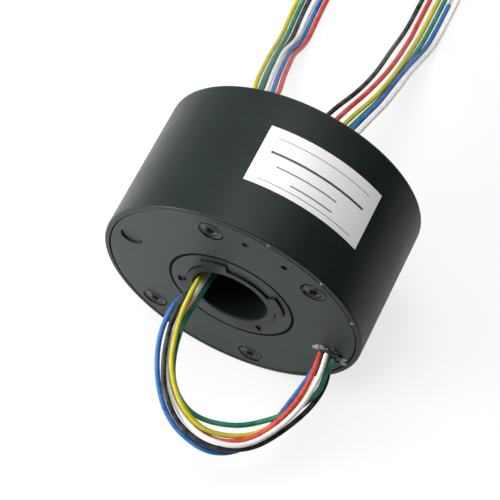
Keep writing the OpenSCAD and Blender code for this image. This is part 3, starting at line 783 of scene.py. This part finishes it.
@dataclass
class LeadSet:
    """One side's six leads: insulated wires with stripped and tinned ends."""

    side: str
    body: str
    length: float = 330 * MM
    diameter: float = 1.9 * MM
    stripped: float = 4.5 * MM
    strand_r: float = 0.2 * MM
    steps: int = 6
    ease: int = 8
    floor_z: float = -48.3
    slot_r: float = 24.8
    slot_deg: float = 191.0
    first_deg: float = 4.0
    step_deg: float = 5.4
    collar_end: float = 63.0
    bend_centre: tuple[float, float] = (-81.5, 186.0)
    bend_r: float = 36.5
    bend_lane: float = 2.2
    bend_step: int = 15
    bend_end: int = 330
    strand_sides: int = 6
    strand_rings: int = 14
    outer_strands: int = 6

    def stator_route(self, lead: Lead) -> Route:
        """Gives a stator lead's route points in metres."""
        tail = [(row[lead.value], y, z - (drop if lead is Lead.GREEN else 0.0)) for y, z, drop, *row in TAIL]
        return [Vector(p) * MM for p in LOOPS[lead] + tail]

    def rotor_route(self, lead: Lead) -> Route:
        """Gives a rotor lead's route points in metres."""
        lane = FAN_PLACES[lead]
        angle = math.radians(self.slot_deg - self.first_deg - self.step_deg * lane)
        x, z = self.slot_r * math.cos(angle), self.slot_r * math.sin(angle)
        points = [(x, self.collar_end + d, z) for d in (-1.5, 1.5)]
        points += [(row[lane][0], y, row[lane][1]) for y, row in FAN_DROP]
        points += [(row[lane], y, z - (drop if lead is Lead.BLACK else 0.0)) for y, z, drop, *row in FAN]
        radius = self.bend_r + self.bend_lane * lane
        for turn in range(0, self.bend_end + 1, self.bend_step):
            a = math.radians(turn)
            across, along = radius * math.cos(a), radius * math.sin(a)
            points.append((self.bend_centre[0] + across, self.bend_centre[1] + along, self.floor_z))
        return [Vector(p) * MM for p in points]

    def tinned_end(self, name: str, start: Vector, along: Vector,
                   material: bpy.types.Material) -> bpy.types.Object:
        """Builds the twisted strands of a stripped end.

        Args:
            name: The piece's name.
            start: Where the insulation ends.
            along: Direction of the lead there.
            material: The strands' finish.

        Returns:
            The bundle of strands.
        """
        shape = bmesh.new()
        side = along.cross(Vector((0, 0, 1))).normalized()
        up = side.cross(along).normalized()
        sides, rings, around = self.strand_sides, self.strand_rings, self.outer_strands
        for strand in range(around + 1):
            lay_r = 0.0 if strand == 0 else 2.05 * self.strand_r
            loops = []
            for i in range(rings + 1):
                t = i / rings
                a = math.tau * (strand / around + 0.9 * t)
                taper = 1.0 if t < 0.85 else 1.0 - 0.5 * (t - 0.85) / 0.15
                middle = start + along * (self.stripped * (t * 1.12 - 0.12))
                middle = middle + (side * math.cos(a) + up * math.sin(a)) * lay_r * taper
                loops.append([
                    shape.verts.new(middle + (side * math.cos(b) + up * math.sin(b)) * self.strand_r * taper)
                    for b in (math.tau * k / sides for k in range(sides))])
            for near, far in zip(loops, loops[1:]):
                for k in range(sides):
                    shape.faces.new((near[k], near[(k + 1) % sides], far[(k + 1) % sides], far[k]))
            shape.faces.new(loops[0][::-1])
            shape.faces.new(loops[-1])
        return mesh_piece(name, shape, material)

    def build(self, finishes: dict[Lead, bpy.types.Material], tinned: bpy.types.Material) -> None:
        """Builds all six leads, parents them to their body and hides the model's own leads.

        Args:
            finishes: The insulation of each colour.
            tinned: The finish of the stripped ends.
        """
        for lead in Lead:
            stator = self.side == "stator"
            route = self.stator_route(lead) if stator else self.rotor_route(lead)
            path = cut_to(relax(smooth(route, self.steps), self.ease), self.length - self.stripped)
            name = f"{self.side}_lead_{lead.word}"
            curve = bpy.data.curves.new(name + "_insulated", "CURVE")
            curve.dimensions, curve.bevel_depth, curve.bevel_resolution = "3D", self.diameter / 2, 4
            curve.use_fill_caps = True
            line = curve.splines.new("POLY")
            line.points.add(len(path) - 1)
            for point, place in zip(line.points, path):
                point.co = (*place, 1.0)
            line.use_smooth = True
            wire = bpy.data.objects.new(name + "_insulated", curve)
            bpy.context.collection.objects.link(wire)
            dress(wire, finishes[lead])
            end = self.tinned_end(name + "_strands", path[-1], (path[-1] - path[-2]).normalized(), tinned)
            for piece in (wire, end):
                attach(piece, self.body)
            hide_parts(name)
            LOG.info("%s lead %s: %d points", self.side, lead.word, len(path))


# ---------------------------------------------------------------- glue


@dataclass
class GlueDabs:
    """Dabs on the stator cover: pale ones on the groove and beside the outlet, black lacquer heaped over it.

    Each outlet dab is its place across the face and up it, its radius and its height, in millimetres.
    """

    seed: int = 7
    waves: int = 4
    groove_r: float = 47.9
    groove_wide: float = 0.6
    groove_high: float = 0.18
    groove_deg: tuple[float, ...] = (73.0, 46.0, 19.0)
    pale_spots: tuple[Spot, ...] = (
        (33.6, -11.9, 1.9, 0.7), (35.4, -10.4, 1.2, 0.5), (43.2, -15.8, 1.7, 0.8), (43.9, -13.2, 1.0, 0.5),
    )
    black_spots: tuple[Spot, ...] = (
        (37.8, -12.6, 3.4, 1.5), (40.9, -12.9, 2.2, 1.3), (39.9, -9.7, 1.5, 0.8), (41.6, -16.4, 1.7, 1.0),
    )

    def dab(self, name: str, x: float, z: float, wide: float, high: float, draw: random.Random,
            material: bpy.types.Material) -> bpy.types.Object:
        """Builds one flattened, uneven drop that sits on the cover's face.

        Args:
            name: The piece's name.
            x: Its place across the face, in millimetres.
            z: Its height on the face, in millimetres.
            wide: Its radius in millimetres.
            high: How far it stands out, in millimetres.
            draw: Source of its unevenness.
            material: The glue.

        Returns:
            The dab.
        """
        shape = bmesh.new()
        bmesh.ops.create_icosphere(shape, subdivisions=4, radius=1.0)
        waves = [(draw.uniform(1.5, 4), draw.uniform(0, math.tau), draw.uniform(0.05, 0.14))
                 for _ in range(self.waves)]
        for vert in shape.verts:
            angle = math.atan2(vert.co.z, vert.co.x)
            swell = 1 + sum(size * math.sin(round(rate) * angle + phase) for rate, phase, size in waves)
            depth = vert.co.y * (high if vert.co.y < 0 else 0.25)
            vert.co = Vector((x + vert.co.x * wide * swell, depth, z + vert.co.z * wide * swell)) * MM
        return mesh_piece(name, shape, material)

    def build(self, pale: bpy.types.Material, black: bpy.types.Material) -> None:
        """Builds all the dabs.

        Args:
            pale: The glue.
            black: The lacquer.
        """
        draw = random.Random(self.seed)
        size = (self.groove_wide, self.groove_high)
        groove = [(self.groove_r * math.cos(a), self.groove_r * math.sin(a), *size)
                  for a in map(math.radians, self.groove_deg)]
        spots = [(spot, pale) for spot in (*groove, *self.pale_spots)]
        spots += [(spot, black) for spot in self.black_spots]
        for index, (spot, material) in enumerate(spots, start=1):
            dab = self.dab(f"glue_dab_{index}", *spot, draw, material)
            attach(dab, "stator")
        LOG.info("glue dabs: %d", len(spots))


@dataclass
class ScrewSeals:
    """Black lacquer run into the sunk screw heads: a wet ring round a hollow middle.

    The section is a radius and a depth under the cover's face at each step from the middle, in millimetres.
    """

    seed: int = 11
    circle_r: float = 40.3
    places_deg: tuple[float, ...] = (40.5, 100.5, 220.5, 280.5)
    section: tuple[tuple[float, float], ...] = (
        (0.0, 0.43), (1.0, 0.43), (1.4, 0.36), (1.75, 0.02), (2.1, -0.16), (2.5, 0.0), (2.9, 0.34),
        (3.4, 0.43), (3.9, 0.4), (4.2, 0.1), (4.5, -0.08), (4.8, 0.05),
    )
    head_depth: float = 0.42
    lift_wave: float = 2.2
    reach_wave: float = 0.35
    around: int = 48

    def seal(self, name: str, turn_deg: float, draw: random.Random,
             material: bpy.types.Material) -> bpy.types.Object:
        """Builds the lacquer of one screw.

        Args:
            name: The piece's name.
            turn_deg: The screw's angle round the bore.
            draw: Source of its unevenness.
            material: The lacquer.

        Returns:
            The seal.
        """
        shape = bmesh.new()
        turn = math.radians(turn_deg)
        middle = Vector((self.circle_r * math.cos(turn), 0.0, self.circle_r * math.sin(turn)))
        waves = [(n, draw.uniform(0, math.tau), draw.uniform(0.03, 0.09)) for n in (1, 2, 3, 5)]
        loops = []
        for radius, depth in self.section[1:]:
            loop = []
            for k in range(self.around):
                a = math.tau * k / self.around
                wave = sum(size * math.sin(n * a + phase) for n, phase, size in waves)
                y = self.head_depth - (self.head_depth - depth) * (1 + self.lift_wave * wave)
                reach = radius * (1 + self.reach_wave * wave)
                place = middle + Vector((reach * math.cos(a), y, reach * math.sin(a)))
                loop.append(shape.verts.new(place * MM))
            loops.append(loop)
        centre = shape.verts.new((middle + Vector((0.0, self.section[0][1], 0.0))) * MM)
        for k in range(self.around):
            after = (k + 1) % self.around
            shape.faces.new((centre, loops[0][k], loops[0][after]))
            for inner, outer in zip(loops, loops[1:]):
                shape.faces.new((inner[k], outer[k], outer[after], inner[after]))
        return mesh_piece(name, shape, material)

    def build(self, material: bpy.types.Material) -> None:
        """Builds the seals of all the stator cover's screws.

        Args:
            material: The lacquer.
        """
        draw = random.Random(self.seed)
        for index, turn_deg in enumerate(self.places_deg, start=1):
            seal = self.seal(f"screw_seal_{index}", turn_deg, draw, material)
            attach(seal, "stator")
        LOG.info("screw seals: %d", len(self.places_deg))


# Painted shade: matt black sheets laid in the gap round the end ring and in the screw heads stand in for the
# shade there
@dataclass(frozen=True)
class PaintedShadeLine:
    """One dark line of painted shade in a gap or hollow: its middle, its reach, and the face that it lies on.
    """

    name: str
    inner_r: float
    outer_r: float
    depth: float
    x: float = 0.0
    z: float = 0.0
    face_y: float = 0.0


@dataclass
class PaintedGapShade:
    """Painted shade: matt black lines laid in the gap round the end ring, and round and in the stator cover's
    sunk screw heads, where the shade falls.
    """

    seals: ScrewSeals
    film: float = 0.03
    crown: float = 0.005
    edge: float = 0.1
    around: int = 120

    def lines(self) -> list[PaintedShadeLine]:
        """Lists the lines.

        Returns:
            The line of the end ring, then two for each screw.
        """
        found = [PaintedShadeLine("joint_grease", 22.95, 24.05, 0.3)]
        for index, turn_deg in enumerate(self.seals.places_deg, start=1):
            turn = math.radians(turn_deg)
            x, z = self.seals.circle_r * math.cos(turn), self.seals.circle_r * math.sin(turn)
            found.append(PaintedShadeLine(f"screw_edge_{index}", 4.15, 4.85, 0.2, x, z))
            found.append(PaintedShadeLine(f"screw_hollow_{index}", 0.1, 1.6, 0.1, x, z, 0.36))
        return found

    def build(self, material: bpy.types.Material) -> None:
        """Builds the lines.

        Args:
            material: The matt black of the painted shade.
        """
        for line in self.lines():
            middle = (line.inner_r + line.outer_r) / 2
            section = ((line.inner_r, 0.0), (line.inner_r + self.edge, -self.film),
                       (middle, -self.film - self.crown), (line.outer_r - self.edge, -self.film),
                       (line.outer_r, 0.0), (middle, line.depth))
            shape = bmesh.new()
            loops = []
            for a in (math.tau * k / self.around for k in range(self.around)):
                places = [(line.x + r * math.cos(a), line.face_y + y, line.z + r * math.sin(a))
                          for r, y in section]
                loops.append([shape.verts.new(Vector(place) * MM) for place in places])
            for one, two in zip(loops, loops[1:] + loops[:1]):
                for k in range(len(section)):
                    after = (k + 1) % len(section)
                    shape.faces.new((one[k], two[k], two[after], one[after]))
            piece = mesh_piece(line.name, shape, material)
            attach(piece, "stator")
        # The lines built here paint the shade of the end ring's gap and of the screw heads
        LOG.info("grease lines built")


# ---------------------------------------------------------------- carried-over nodes


@dataclass
class Dresser:
    """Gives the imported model's own nodes their finishes."""

    nodes: dict[str, bpy.types.Object]

    def wear(self, finish: object, *names: str) -> bpy.types.Material:
        """Builds a finish and puts it on nodes.

        Args:
            finish: A finish with a build method.
            *names: The nodes' names.

        Returns:
            The material.
        """
        material = finish.build()
        for name in names:
            dress(self.nodes[name], material)
        LOG.info("%s on %d nodes", material.name, len(names))
        return material

    def build(self) -> None:
        """Dresses every node that no scene piece replaces."""
        six = range(1, 7)
        self.wear(BLACK_DRUM, "housing")
        self.wear(BLACK_COVER, "stator_cover", "rotor_cover", "cover_plug")
        self.wear(BLACK_ROTOR, "bore_bush", "rotor_collar")
        self.wear(BLACK_RING, "rotor_end_ring")
        self.wear(BLACK_SCREW, "stator_cover_screws", "rotor_cover_screws", "sealed_screw",
                  "rotor_set_screws")
        self.wear(KEY_SCREW, "rotor_key_screw")
        self.wear(CLEAR_SLEEVE, "rotor_sleeve")
        self.wear(TURNED_PILLAR, "tie_pillars")
        ends = ("near", "far")
        steel = ("inner_race", "outer_race", "balls")
        self.wear(GROUND_STEEL, *(f"{end}_{part}" for end in ends for part in steel))
        self.wear(CAGE_BRASS, *(f"{end}_cage" for end in ends))
        self.wear(RING_GOLD, *(f"contact_ring_{i}" for i in six))
        self.wear(WIRE_GOLD, *(f"brush_wires_{i}" for i in six))
        self.wear(PHENOLIC, "ring_core", "ring_insulators")
        self.wear(GLASS_EPOXY, "brush_bar_right", "brush_bar_left")
        self.wear(POTTING, "outlet_potting", "rotor_potting")
        self.wear(LABEL_FILM, "label")


def main() -> None:
    """Builds the studio, the leads and the finishes in order."""
    logging.basicConfig(level=logging.INFO, format="%(message)s")
    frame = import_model()
    Studio().build()
    insulation = {lead: finish.build() for lead, finish in LEAD_FINISHES.items()}
    tinned = TINNED_COPPER.build()
    LeadSet("stator", "stator").build(insulation, tinned)
    LeadSet("rotor", "rotor").build(insulation, tinned)
    Dresser(frame["nodes"]).build()
    lacquer = LACQUER.build()
    GlueDabs().build(GLUE.build(), lacquer)
    seals = ScrewSeals()
    seals.build(lacquer)
    # Matt black sheets that paint the shade in the end ring's gap and in the screw heads
    PaintedGapShade(seals).build(PAINTED_GAP_SHADE.build())


if __name__ == "__main__":
    main()
